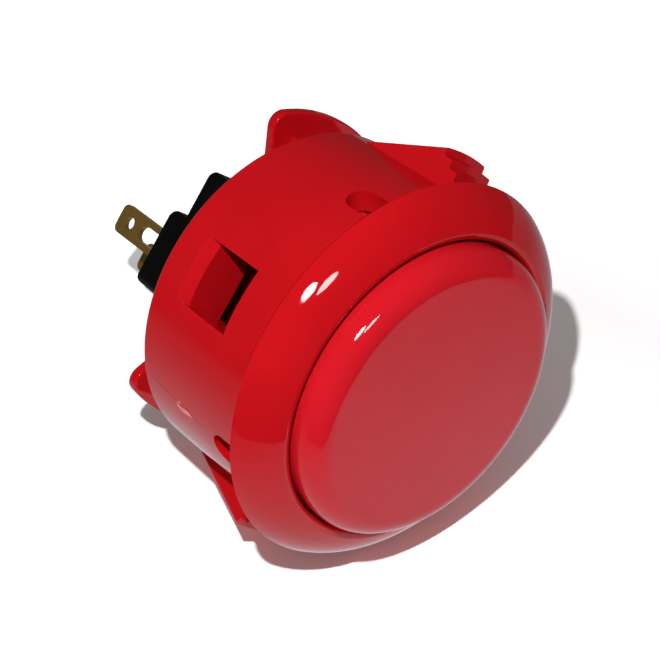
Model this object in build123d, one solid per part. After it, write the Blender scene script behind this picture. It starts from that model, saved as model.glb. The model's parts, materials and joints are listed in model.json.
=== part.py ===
from build123d import *
import os
from math import hypot, radians, sin, tan

# Snap-in arcade push button for a round panel hole.
# Origin: centre of the flange underside, where the panel sits. +Z points to the player.
# The snap clips are at +X and -X, the side windows at +Y and -Y. Millimetres.

# Panel fit
panel_hole_d = 30.0
panel_clearance = 0.1

# Housing
flange_lip = 1.85
flange_h = 3.15
flange_edge_z = 0.4
flange_edge_inset = 0.3
flange_dome_sag = 0.4
flange_rim_w = 0.7
flange_rim_round = 0.55
body_depth = 14.0
body_wall = 1.9
rear_edge_round = 0.3
collar_wall = 3.3
floor_t = 1.7

# Side windows that the plunger hooks catch in
window_w = 5.55
window_front_depth = 5.05
window_rear_depth = 11.1
window_sill_depth = 10.3
window_sill_l = 4.1
window_sill_side = 1.2
window_ramp = 0.75
window_round = 0.2

# Snap clips with stepped teeth
clip_w = 5.5
clip_reach = 2.9
clip_crest_depth = 4.5
clip_ramp_depth = 12.5
tooth_count = 3
tooth_pitch = 1.08
tooth_step = 0.6
tooth_lean = 0.1
tooth_rake = 0.1
clip_edge_round = 0.2

# Relief slots that free each clip tongue
slot_angle = 41.5
slot_w = 2.6
slot_depth = 4.7
slit_h = 1.2
slit_relief = 0.15

# Rear ears, flat plates behind the clips on webs from the floor
ear_gap = 4.3
ear_t = 1.0
ear_l = 4.3
ear_half_angle = 30.0
ear_corner_r = 1.3
ear_edge_round = 0.2
ear_web_inset = 2.2
ear_web_t = 1.5
ear_web_w = 9.0

# Plunger
plunger_gap = 0.2
plunger_proud = 5.34
plunger_crown = 0.06
plunger_edge_r = 2.0
plunger_cap_t = 1.8
plunger_wall = 1.5
travel = 1.5
stop_gap = 0.05
skirt_end_z = 0.7
leg_w = 20.4
hook_reach = 0.8
hook_h = 0.8
hook_land = 0.3
hook_side_gap = 0.35
post_d = 4.8
rib_t = 1.2
rib_end_z = -1.0

# Switch outline, seen from behind
switch_left = 5.8
switch_right = 8.0
switch_right_near = 6.0
switch_half_w = 5.0
switch_slant_end_y = 2.0
switch_corner_r = 0.8
switch_wall = 0.9
switch_step_x = -1.0
base_low_t = 3.8
base_tall_t = 5.8
switch_fit = 0.1
frame_h = 1.4
frame_t = 1.0

# Switch neck through the housing floor
neck_l = 10.0
neck_w = 8.4
neck_rise = 3.0
neck_top_t = 1.2
guide_t = 1.0
guide_wall = 0.9
lug_w = 4.0
lug_reach = 0.5
lug_h = 1.3
lug_play = 0.05

# Catches between switch cover and base
catch_w = 3.0
catch_h = 1.0
catch_rise = 0.9
catch_play = 0.08
rib_plug_l = 8.4
rib_plug_t = 0.7
rib_plug_h = 1.0

# Actuator and its spring
actuator_d = 3.0
actuator_gap = 0.15
actuator_proud = 2.3
actuator_post_gap = 0.05
shoulder_back_l = 2.4
shoulder_end_gap = 0.7
shoulder_side_gap = 0.3
shoulder_t = 1.2
foot_l = 1.0
foot_t = 0.8
spring_mean_d = 3.2
spring_wire_d = 0.35
spring_turns = 6.0
spigot_gap = 0.2
spigot_h = 1.4

# Contact blade on its fulcrum
fulcrum_inset = 0.8
fulcrum_r = 0.3
fulcrum_gap = 0.05
blade_drop = 3.0
blade_t = 0.3
blade_w = 6.4
blade_tail = 0.6
blade_tip_margin = 0.1
blade_tip_w = 2.6
blade_opening_l = 4.8
blade_opening_w = 4.5
blade_swing = 0.116
foot_clearance = 0.1

# Contacts
contact_wall_gap = 0.28
contact_d = 2.0
contact_h = 0.6
contact_fixed_h = 0.5
contact_shank_d = 1.0
contact_tail_d = 1.5
contact_tail_h = 0.2
contact_shank_gap = 0.02
contact_closed_gap = 0.06
contact_floor_gap = 0.46

# Blade terminals
terminal_w = 2.8
terminal_t = 0.5
terminal_l = 8.2
terminal_corner_r = 0.65
terminal_hole_d = 1.2
terminal_hole_from_tip = 1.65
terminal_slot_w = 1.5
terminal_slot_from_tip = 3.3
terminal_slot_l = 3.8
terminal_fit = 0.03
terminal_wall_gap = 0.1
terminal_stagger = 2.74
terminal_y = 2.4
bar_h = 1.5
riser_w = 1.4
ledge_t = 0.5

# Place of the seam on turned shapes, between the relief slots and the windows
seam_turn = 62

# How close to a surface an edge lies to count as on it
edge_tolerance = 0.02

# Worked out from the sizes above
body_r = panel_hole_d / 2 - panel_clearance
bore_r = body_r - body_wall
collar_r = body_r - collar_wall
flange_r = body_r + flange_lip
crest_r = body_r + clip_reach
plunger_r = bore_r - plunger_gap
plunger_under_z = plunger_proud - plunger_cap_t
hook_top_z = -(window_front_depth + stop_gap)
leg_end_z = hook_top_z - hook_h
shelf_z = leg_end_z - travel - stop_gap
floor_front_z = -(body_depth - floor_t)
ear_front_z = -(body_depth + ear_gap)
ramp_r = body_r - window_ramp
sill_y = ramp_r - window_sill_l
neck_top_z = floor_front_z + neck_rise
neck_under_z = neck_top_z - neck_top_t
guide_end_z = neck_under_z - guide_t
actuator_top_z = neck_top_z + actuator_proud
cavity_roof_z = -(body_depth + switch_wall)
shoulder_top_z = guide_end_z - stop_gap
shoulder_under_z = shoulder_top_z - shoulder_t
shoulder_half_w = neck_w / 2 - switch_wall - shoulder_side_gap
shoulder_front_l = neck_l / 2 - switch_wall - shoulder_end_gap
foot_x = shoulder_front_l - foot_l
spigot_r = (spring_mean_d - spring_wire_d) / 2 - spigot_gap

# The contact sits clear of the switch's slanted end wall, the open terminal clear of its straight one
slant = (switch_right - switch_right_near) / (switch_half_w + switch_slant_end_y)
pad_half = contact_d / 2 + blade_tip_margin
slant_x = switch_right_near + slant * (switch_half_w - pad_half)
contact_x = slant_x - switch_wall * hypot(1, slant) - contact_wall_gap - pad_half
open_x = switch_right - switch_wall - terminal_wall_gap - terminal_w / 2
common_x = open_x - terminal_stagger
fulcrum_x = -(switch_left - switch_wall - fulcrum_inset)

# Heights from the blade down through the contacts to the base and the terminal tips
blade_axis_z = -(body_depth + blade_drop)
blade_top_z = blade_axis_z + blade_t / 2
blade_under_z = blade_axis_z - blade_t / 2
foot_end_z = blade_top_z - (foot_x - fulcrum_x) * sin(blade_swing) + travel + foot_clearance
contact_drop = (contact_x - fulcrum_x) * sin(blade_swing)
fixed_top_z = blade_under_z - contact_h - contact_drop - contact_closed_gap
pad_top_z = fixed_top_z - contact_fixed_h
pad_under_z = pad_top_z - terminal_t
ledge_top_z = blade_under_z - fulcrum_gap - fulcrum_r
inner_floor_z = pad_under_z - contact_tail_h - contact_floor_gap
catch_z = inner_floor_z + catch_rise
base_low_z = inner_floor_z - base_low_t
base_tall_z = inner_floor_z - base_tall_t
terminal_tip_z = base_tall_z - terminal_l

os.makedirs("parts", exist_ok=True)


def turned(profile):
    """Turns a face drawn in radius and height round the Z axis, its seam clear of every cut."""
    return Rot(0, 0, seam_turn) * revolve(Plane.XZ * profile, Axis.Z, 360)


def polygon(*points):
    """A closed face through corner points."""
    return make_face(Polyline(*points, close=True))


def block(x0, x1, y0, y1, z0, z1):
    """A box between two corners."""
    size = Box(x1 - x0, y1 - y0, z1 - z0)
    return Pos((x0 + x1) / 2, (y0 + y1) / 2, (z0 + z1) / 2) * size


def rod(radius, z0, z1, x=0.0, y=0.0):
    """An upright cylinder between two heights."""
    return Pos(x, y, (z0 + z1) / 2) * Cylinder(radius, z1 - z0)


def ring(outer, inner, z0, z1):
    """An upright tube between two heights."""
    return rod(outer, z0, z1) - rod(inner, z0, z1)


def switch_outline():
    """Outline of the switch: a block with one slanted end and rounded corners."""
    face = polygon(
        (-switch_left, -switch_half_w),
        (switch_right_near, -switch_half_w),
        (switch_right, switch_slant_end_y),
        (switch_right, switch_half_w),
        (-switch_left, switch_half_w),
    )
    return fillet(face.vertices(), switch_corner_r)


def prism(face, z0, z1):
    """An upright prism over a face drawn in the XY plane."""
    return Pos(0, 0, z0) * extrude(face, z1 - z0)


def housing_shell():
    """Flange, body, plunger bore, collar and floor, turned in one profile."""
    edge = (flange_r, flange_edge_z)
    rim_outer = (bore_r + flange_rim_w, flange_h)
    lower = Polyline(
        (0, floor_front_z),
        (0, -body_depth),
        (body_r, -body_depth),
        (body_r, 0),
        (flange_r - flange_edge_inset, 0),
        edge,
    )
    dome = SagittaArc(edge, rim_outer, -flange_dome_sag)
    inner = Polyline(
        rim_outer,
        (bore_r, flange_h),
        (bore_r, shelf_z),
        (collar_r, shelf_z),
        (collar_r, floor_front_z),
        (0, floor_front_z),
    )
    face = make_face(lower + dome + inner)
    rear_corner = face.vertices().sort_by_distance((body_r, -body_depth))[0]
    face = fillet(rear_corner, rear_edge_round)
    rim_corner = face.vertices().sort_by_distance((bore_r, flange_h))[0]
    return turned(fillet(rim_corner, flange_rim_round))


def clip_barbs():
    """Both stepped clips: a turned tooth profile cut to the clip width."""
    root_r = body_r - body_wall / 2
    points = [(root_r, -clip_ramp_depth), (body_r, -clip_ramp_depth)]
    r = crest_r
    z = -clip_crest_depth
    for tooth in range(tooth_count):
        points.append((r, z))
        points.append((r - tooth_step, z + tooth_rake))
        r = r - tooth_step - tooth_lean
        z = z + tooth_pitch
    points[-1] = (root_r, points[-1][1])
    side_y = clip_w / 2
    barb = turned(polygon(*points)) & block(0, crest_r, -side_y, side_y, -body_depth, 0)
    rims = [
        e
        for e in barb.edges()
        if abs(abs(e.center().Y) - side_y) < clip_edge_round / 10
        and e.center().Z < -clip_crest_depth
        and e.center().X > body_r
    ]
    barb = fillet(rims, clip_edge_round)
    return barb + Rot(0, 0, 180) * barb


def sector(half_angle):
    """A wedge from the Z axis that opens towards +X."""
    reach = 2 * body_r
    half_width = reach * tan(radians(half_angle))
    return polygon((0, 0), (reach, -half_width), (reach, half_width))


def rear_ears():
    """Two flat plates behind the body, sectors with rounded corners, each on a web from the floor."""
    face = sector(ear_half_angle) & Rot(0, 0, 180) * (Circle(body_r) - Circle(body_r - ear_l))
    corners = face.vertices().sort_by(Axis.Y)
    face = fillet([corners[0], corners[-1]], ear_corner_r)
    plate = prism(face, ear_front_z - ear_t, ear_front_z)
    flat_edges = plate.edges().group_by(Axis.Z)
    plate = fillet(flat_edges[0] + flat_edges[-1], ear_edge_round)
    web_r = body_r - ear_web_inset
    low = ear_front_z - ear_t / 2
    high = -body_depth + floor_t / 2
    half_web = ear_web_w / 2
    web = ring(web_r, web_r - ear_web_t, low, high) & block(0, body_r, -half_web, half_web, low, high)
    ear = plate + web
    return ear + Rot(0, 0, 180) * ear


def relief_cuts():
    """Slots beside each clip and the slit under the flange that joins them."""
    round_z = -(slot_depth - slot_w / 2)
    sketch = Pos(0, (slit_relief + round_z) / 2) * Rectangle(slot_w, slit_relief - round_z)
    sketch += Pos(0, round_z) * Circle(slot_w / 2)
    cut_l = body_wall + plunger_gap + panel_clearance
    cutter = Pos(plunger_r, 0, 0) * extrude(Plane.YZ * sketch, cut_l)
    arc = ring(body_r + panel_clearance, plunger_r, -slit_h, slit_relief)
    slit = arc & prism(sector(slot_angle), -slit_h, slit_relief)
    cuts = None
    for side in (0, 180):
        pieces = Rot(0, 0, side) * slit
        for turn in (-slot_angle, slot_angle):
            pieces = pieces + Rot(0, 0, side + turn) * cutter
        cuts = pieces if cuts is None else cuts + pieces
    return cuts


def window_sills():
    """Two blocks on the floor that carry the window sills into the bore."""
    side = window_w / 2 + window_sill_side
    sill = block(-side, side, sill_y, bore_r, -body_depth + floor_t / 2, -window_sill_depth)
    return sill + Rot(0, 0, 180) * sill


def window_cuts():
    """Two side windows through the wall, with a sloped rear edge down to a flat sill."""
    half = window_w / 2
    sill_z = -window_sill_depth
    cuts = block(-half, half, sill_y, flange_r, sill_z, -window_front_depth)
    slope = (window_rear_depth - window_sill_depth) / window_ramp
    ramp = turned(
        polygon(
            (ramp_r, sill_z + window_round),
            (ramp_r, sill_z),
            (flange_r, sill_z - slope * (flange_r - ramp_r)),
            (flange_r, sill_z + window_round),
        )
    )
    cuts += ramp & block(-half, half, 0, flange_r, -body_depth, 0)
    return cuts + Rot(0, 0, 180) * cuts


def outer_edges(shape, z_low, z_high, half_x):
    """Edges on the outside of the body whose middles lie between two heights and near the YZ plane."""
    return [
        e
        for e in shape.edges()
        if z_low < e.center().Z < z_high
        and abs(e.center().X) < half_x
        and abs(hypot(e.center().X, e.center().Y) - body_r) < edge_tolerance
    ]


def make_housing():
    shape = housing_shell() + window_sills() + rear_ears() + clip_barbs()
    outline = switch_outline()
    frame = offset(outline, switch_fit + frame_t) - offset(outline, switch_fit)
    shape += prism(frame, -body_depth - frame_h, -body_depth)
    shape -= window_cuts()
    rims = outer_edges(shape, -window_rear_depth - window_round, -window_front_depth + window_round, window_w)
    shape = fillet(rims, window_round)
    shape -= relief_cuts()
    mouth_l = neck_l / 2 + switch_fit
    mouth_w = neck_w / 2 + switch_fit
    shape -= block(-mouth_l, mouth_l, -mouth_w, mouth_w, -body_depth, floor_front_z)
    return shape


def make_plunger():
    crown_r = plunger_r - plunger_edge_r
    shoulder_z = plunger_proud - plunger_crown
    top = SagittaArc((0, plunger_proud), (crown_r, shoulder_z), plunger_crown / 4)
    corner = RadiusArc((crown_r, shoulder_z), (plunger_r, shoulder_z - plunger_edge_r), plunger_edge_r)
    inner_r = plunger_r - plunger_wall
    rest = Polyline(
        (plunger_r, shoulder_z - plunger_edge_r),
        (plunger_r, leg_end_z),
        (inner_r, leg_end_z),
        (inner_r, plunger_under_z),
        (0, plunger_under_z),
        (0, plunger_proud),
    )
    shape = turned(make_face(top + corner + rest))
    reach = 2 * plunger_r
    for side in (-1, 1):
        far = side * reach
        near = side * leg_w / 2
        shape -= block(min(near, far), max(near, far), -reach, reach, leg_end_z, skirt_end_z)
    hook_r = plunger_r + hook_reach
    hook = turned(
        polygon(
            (inner_r + plunger_wall / 2, hook_top_z),
            (hook_r, hook_top_z),
            (hook_r, hook_top_z - hook_land),
            (plunger_r, leg_end_z),
            (inner_r + plunger_wall / 2, leg_end_z),
        )
    )
    hook_half = window_w / 2 - hook_side_gap
    shape += hook & block(-hook_half, hook_half, -reach, reach, leg_end_z, hook_top_z)
    post_end_z = actuator_top_z + actuator_post_gap
    shape += rod(post_d / 2, post_end_z, plunger_under_z)
    rib_half = inner_r + plunger_wall / 2
    ribs = block(-rib_half, rib_half, -rib_t / 2, rib_t / 2, skirt_end_z, plunger_under_z)
    ribs += block(-rib_t / 2, rib_t / 2, -rib_half, rib_half, rib_end_z, plunger_under_z)
    return shape + ribs


def make_switch_cover():
    outline = switch_outline()
    shape = prism(outline, inner_floor_z, -body_depth)
    neck_x = neck_l / 2
    neck_y = neck_w / 2
    shape += block(-neck_x, neck_x, -neck_y, neck_y, -body_depth, neck_top_z)
    shape -= prism(offset(outline, -switch_wall), inner_floor_z, cavity_roof_z)
    in_x = neck_x - switch_wall
    in_y = neck_y - switch_wall
    shape -= block(-in_x, in_x, -in_y, in_y, cavity_roof_z, neck_under_z)
    hole_r = actuator_d / 2 + actuator_gap
    shape += rod(hole_r + guide_wall, guide_end_z, neck_under_z)
    shape -= rod(hole_r, guide_end_z, neck_top_z)
    lug_z = floor_front_z + lug_play
    lug_face = polygon(
        (neck_y - switch_wall / 2, lug_z),
        (neck_y + lug_reach, lug_z),
        (neck_y, lug_z + lug_h),
        (neck_y - switch_wall / 2, lug_z + lug_h),
    )
    lug = extrude(Plane.YZ * lug_face, lug_w / 2, both=True)
    shape += lug + Rot(0, 0, 180) * lug
    catch_half = catch_w / 2
    reach = switch_half_w + switch_wall
    shape -= block(-catch_half, catch_half, -reach, reach, catch_z, catch_z + catch_h)
    return shape


def make_switch_base():
    outline = switch_outline()
    shape = prism(outline, base_low_z, inner_floor_z)
    tall = outline & Pos((switch_step_x + switch_right) / 2, 0) * Rectangle(
        switch_right - switch_step_x, 2 * switch_half_w
    )
    step_corners = tall.vertices().group_by(Axis.X)[0]
    tall = fillet(step_corners, switch_corner_r)
    shape += prism(tall, base_tall_z, base_low_z)
    plug_y = switch_half_w - switch_wall - switch_fit
    half_l = rib_plug_l / 2
    catch_half = catch_w / 2 - catch_play
    catch_low = catch_z + catch_play
    catch_high = catch_z + catch_h - catch_play
    catch_y = switch_half_w
    for side in (-1, 1):
        y0, y1 = sorted((side * plug_y, side * (plug_y - rib_plug_t)))
        shape += block(-half_l, half_l, y0, y1, inner_floor_z, inner_floor_z + rib_plug_h)
        shape += block(-catch_half, catch_half, y0, y1, inner_floor_z, catch_high)
        c0, c1 = sorted((side * plug_y, side * catch_y))
        shape += block(-catch_half, catch_half, c0, c1, catch_low, catch_high)
    shape += rod(spigot_r, inner_floor_z, inner_floor_z + spigot_h)
    for x, y in ((common_x, -terminal_y), (open_x, terminal_y)):
        half_w = terminal_w / 2 + terminal_fit
        half_t = terminal_t / 2 + terminal_fit
        shape -= block(x - half_w, x + half_w, y - half_t, y + half_t, base_tall_z, inner_floor_z)
    return shape


def make_actuator():
    shape = rod(actuator_d / 2, shoulder_top_z, actuator_top_z)
    top_edge = shape.edges().filter_by(GeomType.CIRCLE).sort_by(Axis.Z)[-1]
    shape = fillet(top_edge, actuator_d / 6)
    half_w = shoulder_half_w
    shape += block(-shoulder_back_l, shoulder_front_l, -half_w, half_w, shoulder_under_z, shoulder_top_z)
    for side in (-1, 1):
        y0, y1 = sorted((side * half_w, side * (half_w - foot_t)))
        shape += block(foot_x, shoulder_front_l, y0, y1, foot_end_z, shoulder_under_z)
    return shape + rod(spigot_r, shoulder_under_z - spigot_h, shoulder_under_z)


def make_return_spring():
    wire_r = spring_wire_d / 2
    bottom = inner_floor_z + wire_r
    height = shoulder_under_z - wire_r - bottom
    path = Helix(height / spring_turns, height, spring_mean_d / 2, center=(0, 0, bottom))
    section = Plane(path @ 0, z_dir=path % 0) * Circle(wire_r)
    return sweep(section, path=path)


def make_contact_blade():
    tail_x = fulcrum_x - blade_tail
    tip_x = contact_x + pad_half
    half_w = blade_w / 2
    tip_half = blade_tip_w / 2
    neck_x = contact_x - contact_d
    sketch = polygon(
        (tail_x, -half_w),
        (neck_x, -half_w),
        (contact_x - contact_d / 2, -tip_half),
        (tip_x, -tip_half),
        (tip_x, tip_half),
        (contact_x - contact_d / 2, tip_half),
        (neck_x, half_w),
        (tail_x, half_w),
    )
    sketch -= RectangleRounded(blade_opening_l, blade_opening_w, spring_wire_d)
    sketch -= Pos(contact_x, 0) * Circle(contact_shank_d / 2 + contact_shank_gap)
    return prism(sketch, blade_under_z, blade_top_z)


def make_moving_contact():
    head_r = contact_d / 2
    ball_r = (head_r ** 2 + contact_h ** 2) / (2 * contact_h)
    ball = Pos(contact_x, 0, blade_under_z - contact_h + ball_r) * Sphere(ball_r)
    head = ball & rod(contact_d, blade_under_z - contact_h, blade_under_z, contact_x)
    shank = rod(contact_shank_d / 2, blade_under_z, blade_top_z, contact_x)
    tail = rod(contact_tail_d / 2, blade_top_z, blade_top_z + contact_tail_h, contact_x)
    return head + shank + tail


def make_fixed_contact():
    head = rod(contact_d / 2, pad_top_z, fixed_top_z, contact_x)
    shank = rod(contact_shank_d / 2, pad_under_z, pad_top_z, contact_x)
    tail = rod(contact_tail_d / 2, pad_under_z - contact_tail_h, pad_under_z, contact_x)
    return head + shank + tail


def terminal_tab(x, top_z):
    """Flat blade in the XZ plane with rounded tip corners, a wire hole and a slot."""
    length = top_z - terminal_tip_z
    blade = Pos(0, length / 2) * Rectangle(terminal_w, length)
    blade = fillet(blade.vertices().group_by(Axis.Y)[0], terminal_corner_r)
    blade -= Pos(0, terminal_hole_from_tip) * Circle(terminal_hole_d / 2)
    slot_y = terminal_slot_from_tip + terminal_slot_l / 2
    blade -= Pos(0, slot_y) * SlotOverall(terminal_slot_l, terminal_slot_w, rotation=90)
    upright = Pos(x, 0, terminal_tip_z) * (Plane.XZ * blade)
    return extrude(upright, terminal_t / 2, both=True)


def make_common_terminal():
    tab = Pos(0, -terminal_y, 0) * terminal_tab(common_x, inner_floor_z)
    y0 = -terminal_y - terminal_t / 2
    y1 = -terminal_y + terminal_t / 2
    riser_x0 = fulcrum_x - riser_w / 2
    riser_x1 = fulcrum_x + riser_w / 2
    bar = block(riser_x0, common_x + terminal_w / 2, y0, y1, inner_floor_z, inner_floor_z + bar_h)
    riser = block(riser_x0, riser_x1, y0, y1, inner_floor_z, ledge_top_z)
    ledge = block(riser_x0, riser_x1, y0, terminal_y, ledge_top_z - ledge_t, ledge_top_z)
    ridge = Pos(fulcrum_x, (y0 + terminal_y) / 2, ledge_top_z) * Rot(90, 0, 0) * Cylinder(
        fulcrum_r, terminal_y - y0
    )
    ridge = ridge & block(riser_x0, riser_x1, y0, terminal_y, ledge_top_z - ledge_t, ledge_top_z + fulcrum_r)
    return tab + bar + riser + ledge + ridge


def make_open_terminal():
    tab = Pos(0, terminal_y, 0) * terminal_tab(open_x, pad_top_z)
    pad = block(
        contact_x - pad_half,
        contact_x + pad_half,
        -pad_half,
        terminal_y + terminal_t / 2,
        pad_under_z,
        pad_top_z,
    )
    pad -= rod(contact_shank_d / 2 + contact_shank_gap, pad_under_z, pad_top_z, contact_x)
    return tab + pad


makers = {
    "housing": make_housing,
    "plunger": make_plunger,
    "switch_cover": make_switch_cover,
    "switch_base": make_switch_base,
    "actuator": make_actuator,
    "return_spring": make_return_spring,
    "contact_blade": make_contact_blade,
    "moving_contact": make_moving_contact,
    "fixed_contact": make_fixed_contact,
    "common_terminal": make_common_terminal,
    "open_terminal": make_open_terminal,
}

for node, make in makers.items():
    export_step(make(), f"parts/{node}.step")
    print("wrote", node)
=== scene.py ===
# %% [markdown]
# A round snap-in push button, dressed for a picture
#
# The button was drawn as exact solids first: a one-piece red housing, a red
# plunger that slides in it, and a small black switch with brass blades behind.
# This lesson gives those solids their finishes and a small studio. The solids
# keep their places, so what is measured on them here is true of the real part.

import json
from math import cos, pi, radians, sin

import bmesh
import bpy
from mathutils import Matrix, Vector


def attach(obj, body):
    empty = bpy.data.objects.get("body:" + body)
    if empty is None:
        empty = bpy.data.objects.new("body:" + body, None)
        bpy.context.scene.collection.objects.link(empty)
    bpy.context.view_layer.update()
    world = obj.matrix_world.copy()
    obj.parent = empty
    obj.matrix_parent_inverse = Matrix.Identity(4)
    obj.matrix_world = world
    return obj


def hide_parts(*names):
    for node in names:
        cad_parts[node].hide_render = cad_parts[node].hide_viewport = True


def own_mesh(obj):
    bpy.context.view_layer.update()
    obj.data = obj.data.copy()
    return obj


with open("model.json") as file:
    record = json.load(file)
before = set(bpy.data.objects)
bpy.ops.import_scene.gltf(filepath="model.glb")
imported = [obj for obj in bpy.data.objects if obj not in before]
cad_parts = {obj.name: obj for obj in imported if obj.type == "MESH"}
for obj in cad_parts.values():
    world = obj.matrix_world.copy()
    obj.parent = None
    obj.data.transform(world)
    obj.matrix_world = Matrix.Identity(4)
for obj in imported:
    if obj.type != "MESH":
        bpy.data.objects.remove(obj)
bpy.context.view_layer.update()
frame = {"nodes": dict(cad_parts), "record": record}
MM = 0.001
print("nodes:", ", ".join(sorted(frame["nodes"])))

# %% [markdown]
# Colours and nodes
#
# A colour is written as the hex value that a paint program shows. Shaders work
# with linear light, so one function changes the first into the second. A second
# one adds a node to a material, sets what it is given and joins the wires, which
# keeps each recipe below as short as a list of its ingredients. A pattern's scale
# is worked out from its real size, so it can be checked with a ruler. A noise runs
# from 0 to 1, but most of it lies between the two levels that are named here.

# %% Helpers for colours and nodes
NOISE_LOW, NOISE_HIGH = 0.3, 0.7


def linear(code):
    """An sRGB hex colour as linear red, green, blue and alpha."""
    parts = [int(code[i:i + 2], 16) / 255 for i in (1, 3, 5)]
    curve = [c / 12.92 if c <= 0.04045 else ((c + 0.055) / 1.055) ** 2.4 for c in parts]
    return (*curve, 1.0)


def add(tree, kind, inputs=None, stops=(), **settings):
    """Adds a node. An input that is another node's output is wired, the rest are set."""
    node = tree.nodes.new("ShaderNode" + kind)
    for name, value in settings.items():
        setattr(node, name, value)
    for name, value in (inputs or {}).items():
        if isinstance(value, bpy.types.NodeSocket):
            tree.links.new(value, node.inputs[name])
        else:
            node.inputs[name].default_value = value
    for i, (position, code) in enumerate(stops):
        node.color_ramp.elements[i].position = position
        node.color_ramp.elements[i].color = linear(code)
    return node


def new_material(name):
    """An empty material, and its node tree."""
    material = bpy.data.materials.new(name)
    material.use_nodes = True
    material.node_tree.nodes.clear()
    return material, material.node_tree


def per_metre(size_mm):
    """The texture scale at which one cell of a pattern is size_mm long."""
    return 1.0 / (size_mm * MM)


WHITE = linear("#FFFFFF")
print("white in linear light:", WHITE)

# %% [markdown]
# Red ABS, injection moulded
#
# The housing and the plunger are ABS from a polished mould: a saturated red that
# goes right through, under a clear skin that reflects sharply. Flow in the mould
# leaves the colour a shade deeper here and there, and the skin is a little uneven,
# like very fine orange peel. A flat red with a low roughness would be close, but
# its highlights would have edges as clean as glass, so a noise sets the roughness
# and a very weak bump bends the reflections. Some light goes into the red and comes
# out again close by, the red part of it furthest. Tables give ABS an IOR of about
# 1.5, and the reflections in the picture fit a little less.

# %% Red ABS
FLOW_MM, SKIN_MM, PEEL_MM = 9.0, 3.0, 0.9
PEEL_DEPTH_MM = 0.02
ABS_IOR = 1.45
SCATTER_WEIGHT, SCATTER_DEPTH_MM = 0.25, 0.7
SCATTER_REACH = (1.0, 0.2, 0.2)


def red_abs(name, deep, bright, rough, peel):
    """Red plastic between two colours, with a pair for its roughness and the peel's strength."""
    material, tree = new_material(name)
    place = add(tree, "TexCoord").outputs["Object"]
    flow = add(tree, "TexNoise", {"Vector": place, "Scale": per_metre(FLOW_MM), "Detail": 3.0})
    colour = add(tree, "ValToRGB", {"Fac": flow.outputs["Fac"]},
                 stops=((NOISE_LOW, deep), (NOISE_HIGH, bright)))
    skin = add(tree, "TexNoise", {"Vector": place, "Scale": per_metre(SKIN_MM), "Detail": 4.0})
    gloss = add(tree, "MapRange", {
        "Value": skin.outputs["Fac"], "From Min": NOISE_LOW, "From Max": NOISE_HIGH,
        "To Min": rough[0], "To Max": rough[1]})
    grain = add(tree, "TexNoise", {"Vector": place, "Scale": per_metre(PEEL_MM), "Detail": 2.0})
    bump = add(tree, "Bump", {
        "Height": grain.outputs["Fac"], "Strength": peel, "Distance": PEEL_DEPTH_MM * MM})
    shader = add(tree, "BsdfPrincipled", {
        "Base Color": colour.outputs["Color"], "Roughness": gloss.outputs["Result"],
        "Normal": bump.outputs["Normal"], "IOR": ABS_IOR, "Subsurface Weight": SCATTER_WEIGHT,
        "Subsurface Radius": SCATTER_REACH, "Subsurface Scale": SCATTER_DEPTH_MM * MM})
    add(tree, "OutputMaterial", {"Surface": shader.outputs["BSDF"]})
    return material


housing_red = red_abs("red_abs_moulded", "#C00E17", "#C8111A", rough=(0.03, 0.06), peel=0.2)
# The plunger's red is set a shade brighter than the housing's.
plunger_red = red_abs("red_abs_polished", "#CD1723", "#D51A28", rough=(0.01, 0.03), peel=0.06)
print("made", housing_red.name, "and", plunger_red.name)

# %% [markdown]
# Black switch plastic
#
# The switch is moulded in a glass-filled black thermoplastic. Its fibres leave a
# satin skin with a fine grain, so it swallows most of the light and shows only a
# broad grey sheen. The real grain is a few hundredths of a millimetre, which no
# picture of the whole button can show, so it is drawn at 0.25 mm.

# %% Black glass-filled plastic
MOTTLE_MM, GRAIN_MM = 2.5, 0.25
GRAIN_DEPTH_MM, GRAIN_STRENGTH = 0.02, 0.5
SATIN_LOW, SATIN_HIGH = 0.5, 0.65
BLACK_IOR, BLACK_SHEEN = 1.4, 0.25


def black_filled():
    """Black plastic with a mottled colour and a fine satin grain."""
    material, tree = new_material("black_glass_filled_plastic")
    place = add(tree, "TexCoord").outputs["Object"]
    mottle = add(tree, "TexNoise", {"Vector": place, "Scale": per_metre(MOTTLE_MM), "Detail": 3.0})
    colour = add(tree, "ValToRGB", {"Fac": mottle.outputs["Fac"]},
                 stops=((NOISE_LOW, "#050505"), (NOISE_HIGH, "#0A0A0B")))
    grain = add(tree, "TexNoise", {"Vector": place, "Scale": per_metre(GRAIN_MM), "Detail": 2.0})
    satin = add(tree, "MapRange", {
        "Value": grain.outputs["Fac"], "From Min": NOISE_LOW, "From Max": NOISE_HIGH,
        "To Min": SATIN_LOW, "To Max": SATIN_HIGH})
    bump = add(tree, "Bump", {
        "Height": grain.outputs["Fac"], "Strength": GRAIN_STRENGTH, "Distance": GRAIN_DEPTH_MM * MM})
    shader = add(tree, "BsdfPrincipled", {
        "Base Color": colour.outputs["Color"], "Roughness": satin.outputs["Result"],
        "Normal": bump.outputs["Normal"], "IOR": BLACK_IOR, "Specular IOR Level": BLACK_SHEEN})
    add(tree, "OutputMaterial", {"Surface": shader.outputs["BSDF"]})
    return material


switch_black = black_filled()
print("made", switch_black.name)

# %% [markdown]
# Rolled brass, steel wire and silver
#
# The blades are stamped from rolled brass strip. Rolling leaves fine lines along
# the strip, so the lines set the roughness. Air leaves a thin brown film in
# patches, which dulls the mirror, so the patches set the colour and how bare the
# metal is. Spring wire is drawn steel, and the contacts are silver rivets with a
# soft grey bloom. All three are the same recipe with other colours, so one function
# makes them. On the brass, a Mapping node stretches the noise along the strip, and
# that makes the lines.

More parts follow.
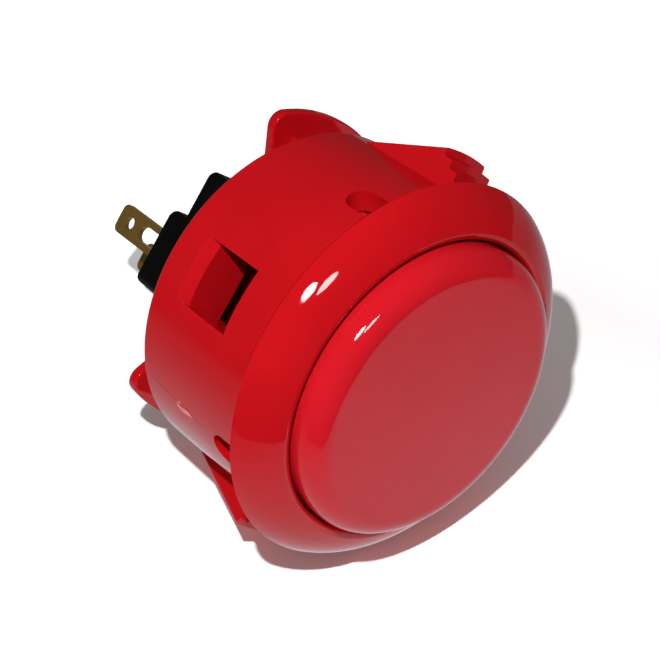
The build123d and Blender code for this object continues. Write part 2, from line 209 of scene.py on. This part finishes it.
# %% Metals
LINE_MM, PATCH_MM = 0.12, 2.2
LINE_DEPTH_MM, LINE_STRENGTH = 0.01, 0.3
FILM_STOPS = (0.35, 0.6)
BARE_STOPS = (0.3, 0.65)
EVEN = (1.0, 1.0, 1.0)
ALONG_STRIP = (1.0, 1.0, 0.06)


def worked_metal(name, dull, clean, rough, bare, stretch):
    """A metal between two colours, with pairs for its roughness and for how bare it is."""
    material, tree = new_material(name)
    place = add(tree, "TexCoord").outputs["Object"]
    along = add(tree, "Mapping", {"Vector": place, "Scale": stretch}).outputs["Vector"]
    lines = add(tree, "TexNoise", {"Vector": along, "Scale": per_metre(LINE_MM), "Detail": 2.0})
    patches = add(tree, "TexNoise", {"Vector": place, "Scale": per_metre(PATCH_MM), "Detail": 4.0})
    colour = add(tree, "ValToRGB", {"Fac": patches.outputs["Fac"]},
                 stops=zip(FILM_STOPS, (dull, clean)))
    worn = add(tree, "MapRange", {
        "Value": lines.outputs["Fac"], "From Min": NOISE_LOW, "From Max": NOISE_HIGH,
        "To Min": rough[0], "To Max": rough[1]})
    film = add(tree, "MapRange", {
        "Value": patches.outputs["Fac"], "From Min": BARE_STOPS[0], "From Max": BARE_STOPS[1],
        "To Min": bare[0], "To Max": bare[1]})
    bump = add(tree, "Bump", {
        "Height": lines.outputs["Fac"], "Strength": LINE_STRENGTH, "Distance": LINE_DEPTH_MM * MM})
    shader = add(tree, "BsdfPrincipled", {
        "Base Color": colour.outputs["Color"], "Metallic": film.outputs["Result"],
        "Roughness": worn.outputs["Result"], "Normal": bump.outputs["Normal"]})
    add(tree, "OutputMaterial", {"Surface": shader.outputs["BSDF"]})
    return material


blade_brass = worked_metal("rolled_brass", "#8F6D2E", "#B48F48",
                           rough=(0.22, 0.4), bare=(0.5, 0.78), stretch=ALONG_STRIP)
spring_wire = worked_metal("drawn_spring_steel", "#85878A", "#A5A7AA",
                           rough=(0.25, 0.4), bare=(0.85, 1.0), stretch=EVEN)
contact_silver = worked_metal("silver_rivet", "#BDB9B0", "#DAD7D0",
                              rough=(0.2, 0.35), bare=(0.8, 1.0), stretch=EVEN)
print("made", blade_brass.name, spring_wire.name, contact_silver.name)

# %% [markdown]
# Giving each solid its finish
#
# Each solid names its finish in the record. The housing and the plunger share the
# red ABS, but they come from two moulds and two polishes, so the plunger has its
# own, and its red is set a shade brighter.

# %% Dress the solids
FINISHES = {"red_plastic": housing_red, "black_plastic": switch_black,
            "contact_brass": blade_brass, "contact_metal": contact_silver,
            "spring_steel": spring_wire}
for part in frame["record"]["subparts"]:
    node = frame["nodes"][part["node"]]
    finish = plunger_red if part["node"] == "plunger" else FINISHES[part["material_slot"]]
    for holder in node.material_slots:
        holder.material = finish
    print(part["node"], "wears", finish.name)

# %% [markdown]
# The return spring
#
# The spring inside the switch shortens as the button is pressed, and a rigid solid
# would let the actuator sink into it. So a coil of the same wire stands for that
# solid. It could be a curve with a round bevel. Here a small circle is spun round
# the axis and climbs as it turns, because a plain mesh could be squashed along its
# axis. Here the coil rides on the housing at its full length, and nothing shortens it.

# %% Return spring
COIL_R_MM, WIRE_R_MM = 1.6, 0.175
COIL_FOOT_MM, COIL_TOP_MM = -20.5, -12.75
COIL_TURNS, COIL_STEPS, WIRE_SIDES = 6, 216, 12


def as_piece(name, mesh, material):
    """Turns a bmesh into a smooth object that rides on the housing."""
    bmesh.ops.recalc_face_normals(mesh, faces=mesh.faces)
    for face in mesh.faces:
        face.smooth = True
    piece = bpy.data.objects.new(name, bpy.data.meshes.new(name))
    mesh.to_mesh(piece.data)
    mesh.free()
    piece.data.materials.append(material)
    bpy.context.scene.collection.objects.link(piece)
    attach(piece, "housing")
    return piece


coil = bmesh.new()
wire = bmesh.ops.create_circle(coil, cap_ends=False, segments=WIRE_SIDES,
                               radius=WIRE_R_MM * MM)["verts"]
upright = Matrix.Rotation(radians(90), 3, "X")
bmesh.ops.rotate(coil, cent=(0, 0, 0), matrix=upright, verts=wire)
start = Vector((COIL_R_MM, 0, COIL_FOOT_MM + WIRE_R_MM)) * MM
bmesh.ops.translate(coil, vec=start, verts=wire)
foot = list(coil.edges)
coil_mm = COIL_TOP_MM - COIL_FOOT_MM
climb = (coil_mm - 2 * WIRE_R_MM) * MM / COIL_STEPS
wound = bmesh.ops.spin(coil, geom=wire + foot, cent=(0, 0, 0), axis=(0, 0, 1),
                       dvec=(0, 0, climb), angle=2 * pi * COIL_TURNS, steps=COIL_STEPS)
top = [edge for edge in wound["geom_last"] if isinstance(edge, bmesh.types.BMEdge)]
for loop in (foot, top):
    bmesh.ops.edgeloop_fill(coil, edges=loop)
spring = as_piece("return_coil", coil, spring_wire)
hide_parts("return_spring")
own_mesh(spring)
print("the coil is", round(coil_mm, 2), "mm long and has", len(spring.data.polygons), "faces")

# %% [markdown]
# The gate mark and the parting line
#
# Where the melt entered the mould, a small curl of plastic was torn off. It left a
# welt on the body that is much paler, because the tear stretched the plastic, and
# its pale colour also holds a painted highlight. A fine line runs through it, where
# the two halves of the mould met. A bump would leave their outline flat, so both
# are real ridges: eight-sided rings, set square to a path that is wrapped round the
# body, bridged one to the next and smoothed.
# Half of each ring is inside the wall, so the ridge grows out of it. Each point of
# a path has four lengths: height, way round the body, half width and rise.

# %% Gate mark and parting line
BODY_R_MM = 14.9
MARK_ANGLE = radians(315.0)
GATE_MM = [(-8.90, -0.33, 0.04, 0.05), (-9.04, -0.46, 0.06, 0.09),
           (-9.28, -0.38, 0.06, 0.11), (-9.40, -0.15, 0.06, 0.12),
           (-9.31, 0.08, 0.07, 0.12), (-9.02, 0.16, 0.08, 0.14),
           (-8.60, 0.11, 0.20, 0.24), (-8.16, 0.06, 0.24, 0.26),
           (-7.88, 0.12, 0.16, 0.18), (-7.64, 0.23, 0.05, 0.05),
           (-7.42, 0.29, 0.03, 0.02)]
PARTING_MM = [(-13.30, -0.75, 0.07, 0.010), (-12.20, -0.65, 0.09, 0.016),
              (-10.70, -0.44, 0.09, 0.016), (-9.00, -0.10, 0.09, 0.016),
              (-7.00, 0.22, 0.09, 0.016), (-5.40, 0.40, 0.07, 0.010)]
RING_SIDES, ROUNDING = 8, 2


def ridge(name, path, material):
    """A welt on the body along a path of points."""
    mesh = bmesh.new()
    rings = []
    for i, (height, way, half, rise) in enumerate(path):
        before, after = path[max(i - 1, 0)], path[min(i + 1, len(path) - 1)]
        angle = MARK_ANGLE + way / BODY_R_MM
        out = Vector((cos(angle), sin(angle), 0.0))
        around = Vector((-sin(angle), cos(angle), 0.0))
        ahead = around * (after[1] - before[1]) + Vector((0, 0, after[0] - before[0]))
        ahead.normalize()
        turn = Matrix((out.cross(ahead), out, ahead)).transposed()
        centre = (out * BODY_R_MM + Vector((0, 0, height))) * MM
        ring = bmesh.ops.create_circle(mesh, cap_ends=False, segments=RING_SIDES, radius=MM)["verts"]
        rings.append([edge for edge in mesh.edges if edge.verts[0] in ring])
        bmesh.ops.scale(mesh, vec=(half, rise, 1.0), verts=ring)
        bmesh.ops.rotate(mesh, cent=(0, 0, 0), matrix=turn, verts=ring)
        bmesh.ops.translate(mesh, vec=centre, verts=ring)
    for first, second in zip(rings, rings[1:]):
        bmesh.ops.bridge_loops(mesh, edges=first + second)
    for end in (rings[0], rings[-1]):
        bmesh.ops.edgeloop_fill(mesh, edges=end)
    piece = as_piece(name, mesh, material)
    rounded = piece.modifiers.new("rounded", "SUBSURF")
    rounded.levels = rounded.render_levels = ROUNDING
    return piece


# The welt's red is paler for stress-whitened plastic, and partly as a painted highlight.
torn_and_highlight_red = red_abs("red_abs_torn_and_highlight", "#D46B69", "#F0A5A2", rough=(0.12, 0.25), peel=0.6)
gate = ridge("gate_mark", GATE_MM, torn_and_highlight_red)
parting = ridge("parting_line", PARTING_MM, housing_red)
for piece in (gate, parting):
    print(piece.name, "has", len(piece.data.polygons), "faces")

# %% [markdown]
# Where the table lies
#
# The button lies on its side on a sheet of white card, on the rim of its flange
# and the corner of a clip. In the part's own frame, whose third axis is the
# plunger's, that card is a tilted plane. Its slope was found from the picture, and
# its height is measured here, so the button just touches it. The light on the card
# is brightest at a spot by the button, which is called the pool.

# %% Where the table lies
TABLE_NORMAL = Vector((-0.722, -0.683, 0.110)).normalized()
TABLE_RIGHT = Vector((-0.483, 0.611, 0.627)).normalized()
TABLE_BACK = TABLE_NORMAL.cross(TABLE_RIGHT).normalized()
POOL_MM = (5.7, -1.2)
touch = min(TABLE_NORMAL.dot(vert.co)
            for node in frame["nodes"].values() for vert in node.data.vertices)
pool = TABLE_NORMAL * touch + (TABLE_RIGHT * POOL_MM[0] + TABLE_BACK * POOL_MM[1]) * MM
print("table touches at", round(touch / MM, 2), "mm along its normal")

# %% [markdown]
# The card as the camera sees it
#
# The card is matt white paper with a trace of fibre, and it takes the shadow. A
# photographer would expose it until it is plain white, so the camera sees a paper
# that throws back more than it gets. Far from the button the key light falls off,
# and a weak glow of the card fills that in.

# %% Card for the camera
FIBRE_MM = 1.5
EXPOSED = (1.5, 1.5, 1.5, 1.0)
LIFT_LOW, LIFT_HIGH = 0.03, 0.6
LIFT_FROM_MM, LIFT_TO_MM = 30.0, 70.0


def card_seen(tree, place, away, ray):
    """Paper for the camera and for soft bounced light."""
    fibre = add(tree, "TexNoise", {"Vector": place, "Scale": per_metre(FIBRE_MM), "Detail": 3.0})
    colour = add(tree, "ValToRGB", {"Fac": fibre.outputs["Fac"]},
                 stops=((0.0, "#F2F1F0"), (1.0, "#F8F8F8")))
    matt = add(tree, "BsdfDiffuse", {"Color": colour.outputs["Color"]})
    exposed = add(tree, "BsdfDiffuse", {"Color": EXPOSED})
    paper = add(tree, "MixShader", {
        0: ray["Is Camera Ray"], 1: matt.outputs[0], 2: exposed.outputs[0]})
    lift = add(tree, "MapRange", {
        "Value": away, "From Min": LIFT_FROM_MM * MM, "From Max": LIFT_TO_MM * MM,
        "To Min": LIFT_LOW, "To Max": LIFT_HIGH})
    glow = add(tree, "Emission", {"Color": WHITE, "Strength": lift.outputs["Result"]})
    return add(tree, "AddShader", {0: paper.outputs[0], 1: glow.outputs[0]}).outputs[0]


print("the card's paper has fibres of", FIBRE_MM, "mm")

# %% [markdown]
# The card as the red skin mirrors it
#
# The red skin is a mirror for the card. It shows how the light on the card fades
# away from the pool, and where it ends: softly to the left, and at a slanted line
# to the right. A lamp with a shaped beam could do that, but the shading would
# change with it. So reflections see a glow of their own on the card: half as bright
# at the fade distance, a fifth at twice that, and dark beyond the slanted line.

# %% Card for reflections
POOL_FADE_MM = 46.0
POOL_MOST, POOL_LEAST, DARK = 0.88, 0.22, 0.04
LEFT_FROM_MM, LEFT_TO_MM = -150.0, -80.0
SLANT, SLANT_MM = 0.708, 53.7
POOL_TINT = "#F6F8FF"


def card_mirrored(tree, place, away):
    """The pool of light on the card, for reflections only."""
    ratio = add(tree, "Math", {0: away, 1: POOL_FADE_MM * MM}, operation="DIVIDE").outputs[0]
    fade = add(tree, "Math", {0: ratio, 1: ratio, 2: 1.0}, operation="MULTIPLY_ADD").outputs[0]
    level = add(tree, "Math", {0: POOL_MOST, 1: fade}, operation="DIVIDE").outputs[0]
    side = add(tree, "VectorMath", {0: place, 1: TABLE_RIGHT}, operation="DOT_PRODUCT")
    least = add(tree, "MapRange", {
        "Value": side.outputs["Value"], "From Min": LEFT_FROM_MM * MM,
        "From Max": LEFT_TO_MM * MM, "To Min": DARK, "To Max": POOL_LEAST}).outputs["Result"]
    level = add(tree, "Math", {0: level, 1: least}, operation="MAXIMUM").outputs[0]
    forward = TABLE_RIGHT * SLANT - TABLE_BACK
    reach = add(tree, "VectorMath", {0: place, 1: forward}, operation="DOT_PRODUCT")
    lit = add(tree, "Math", {0: reach.outputs["Value"], 1: SLANT_MM * MM},
              operation="LESS_THAN").outputs[0]
    level = add(tree, "Math", {0: level, 1: lit}, operation="MULTIPLY").outputs[0]
    level = add(tree, "Math", {0: level, 1: DARK}, operation="MAXIMUM").outputs[0]
    return add(tree, "Emission", {"Color": linear(POOL_TINT), "Strength": level}).outputs[0]


print("the pool falls to half at", POOL_FADE_MM, "mm")

# %% [markdown]
# Laying the card
#
# The card is one flat sheet, scaled to its size, set at the height that was
# measured and turned to the table's slope. Its material shows from above only, so
# it never hides the button from a camera that looks from behind it.

# %% Lay the card
CARD_RIGHT_MM = (-170.0, 160.0)
CARD_BACK_MM = (-62.0, 110.0)


def white_card():
    """The two looks of the card, and nothing from below."""
    material, tree = new_material("white_card")
    place = add(tree, "TexCoord").outputs["Object"]
    ray = add(tree, "LightPath").outputs
    away = add(tree, "VectorMath", {0: place, 1: pool}, operation="DISTANCE").outputs["Value"]
    front = add(tree, "MixShader", {
        0: ray["Is Glossy Ray"], 1: card_seen(tree, place, away, ray),
        2: card_mirrored(tree, place, away)})
    clear = add(tree, "BsdfTransparent")
    behind = add(tree, "NewGeometry").outputs["Backfacing"]
    shown = add(tree, "MixShader", {0: behind, 1: front.outputs[0], 2: clear.outputs[0]})
    add(tree, "OutputMaterial", {"Surface": shown.outputs[0]})
    return material


sheet = bmesh.new()
bmesh.ops.create_grid(sheet, x_segments=1, y_segments=1, size=0.5)
spans = [(b - a) * MM for a, b in (CARD_RIGHT_MM, CARD_BACK_MM)]
middles = [(a + b) / 2 * MM for a, b in (CARD_RIGHT_MM, CARD_BACK_MM)]
slope = Matrix((TABLE_RIGHT, TABLE_BACK, TABLE_NORMAL)).transposed()
bmesh.ops.scale(sheet, vec=(*spans, 1.0), verts=sheet.verts)
bmesh.ops.translate(sheet, vec=(*middles, touch), verts=sheet.verts)
bmesh.ops.rotate(sheet, cent=(0, 0, 0), matrix=slope, verts=sheet.verts)
table = bpy.data.objects.new("table", bpy.data.meshes.new("table"))
sheet.to_mesh(table.data)
sheet.free()
table.data.materials.append(white_card())
bpy.context.scene.collection.objects.link(table)
print("the card is", [round(span / MM) for span in spans], "mm")

# %% [markdown]
# Lamps
#
# One small bright lamp up and to the left draws the crisp shadow and most of the
# shading. The two highlights on the red skin come from other places, nearer the
# camera, so two weak lamps are seen by reflections only and leave the shading
# alone. Each lamp faces the button.

# %% Lamps
def lamp(name, place_mm, size_mm, watts, mirrored):
    """An area lamp that faces the button, for shading or for reflections."""
    data = bpy.data.lights.new(name, "AREA")
    data.shape = "ELLIPSE"
    data.size, data.size_y = (s * MM for s in size_mm)
    data.energy = watts
    thing = bpy.data.objects.new(name, data)
    thing.location = Vector(place_mm) * MM
    thing.rotation_euler = Vector(place_mm).to_track_quat("Z", "Y").to_euler()
    thing.visible_glossy = mirrored
    thing.visible_diffuse = not mirrored
    bpy.context.scene.collection.objects.link(thing)
    return thing


key = lamp("key_lamp", place_mm=(-42.9, -115.8, 48.8), size_mm=(4, 4),
           watts=0.155, mirrored=False)
spark = lamp("spark_lamp", place_mm=(-51.6, -161.5, 108.3), size_mm=(36, 38),
             watts=0.114, mirrored=True)
strip = lamp("strip_lamp", place_mm=(-69.6, -125.6, 140.0), size_mm=(44, 28),
             watts=0.058, mirrored=True)
print("lamps:", key.name, spark.name, strip.name)

# %% [markdown]
# The room
#
# In the picture, the upper half of the red mirrors something dark, and a white
# room would bleach it. So the room is dim, and for reflections it is dimmer still.
# The camera sees it white, straight or through something clear.

# %% Room
ROOM_SEEN, ROOM_SHADING, ROOM_MIRRORED = 1.0, 0.16, 0.04


def dim_room():
    """A world that is white for the camera and dim for the button."""
    world = bpy.data.worlds.new("dim_room")
    world.use_nodes = True
    tree = world.node_tree
    tree.nodes.clear()
    ray = add(tree, "LightPath").outputs
    seen = add(tree, "Math", {0: ray["Is Camera Ray"], 1: ray["Is Transmission Ray"]},
               operation="ADD")
    white = add(tree, "Background", {"Color": WHITE, "Strength": ROOM_SEEN})
    shading = add(tree, "Background", {"Color": WHITE, "Strength": ROOM_SHADING})
    gloom = add(tree, "Background", {"Color": WHITE, "Strength": ROOM_MIRRORED})
    dim = add(tree, "MixShader", {
        0: ray["Is Glossy Ray"], 1: shading.outputs[0], 2: gloom.outputs[0]})
    both = add(tree, "MixShader", {0: seen.outputs[0], 1: dim.outputs[0], 2: white.outputs[0]})
    add(tree, "OutputWorld", {"Surface": both.outputs[0]})
    return world


bpy.context.scene.world = dim_room()
print("the room is", bpy.context.scene.world.name)

# %% [markdown]
# The camera
#
# The camera was fitted to the outlines in the picture: the circles of the flange,
# the plunger and the body, the windows and the clips. It is rolled, because the
# button lies on its side, and its lens is a moderate telephoto.

# %% Camera
CAMERA_MM = (-20.40, -107.94, 81.07)
CAMERA_RIGHT = (-0.48330699, 0.6110856, 0.62688815)
CAMERA_UP = (-0.86302051, -0.21232843, -0.45838001)
CAMERA_BACK = (-0.14700325, -0.76255559, 0.62999922)
SENSOR_MM, FOCAL_PX, IMAGE_PX = 36.0, 1700.0, 660.0
NEAREST_MM = 5.0

lens = bpy.data.cameras.new("camera")
lens.sensor_width = SENSOR_MM
lens.lens = SENSOR_MM * FOCAL_PX / IMAGE_PX
lens.clip_start = NEAREST_MM * MM
camera = bpy.data.objects.new("camera", lens)
turned = Matrix((CAMERA_RIGHT, CAMERA_UP, CAMERA_BACK)).transposed().to_4x4()
camera.matrix_world = Matrix.Translation(Vector(CAMERA_MM) * MM) @ turned
bpy.context.scene.collection.objects.link(camera)
bpy.context.scene.camera = camera
bpy.context.scene.view_settings.view_transform = "Standard"
print("lens", round(lens.lens, 1), "mm")
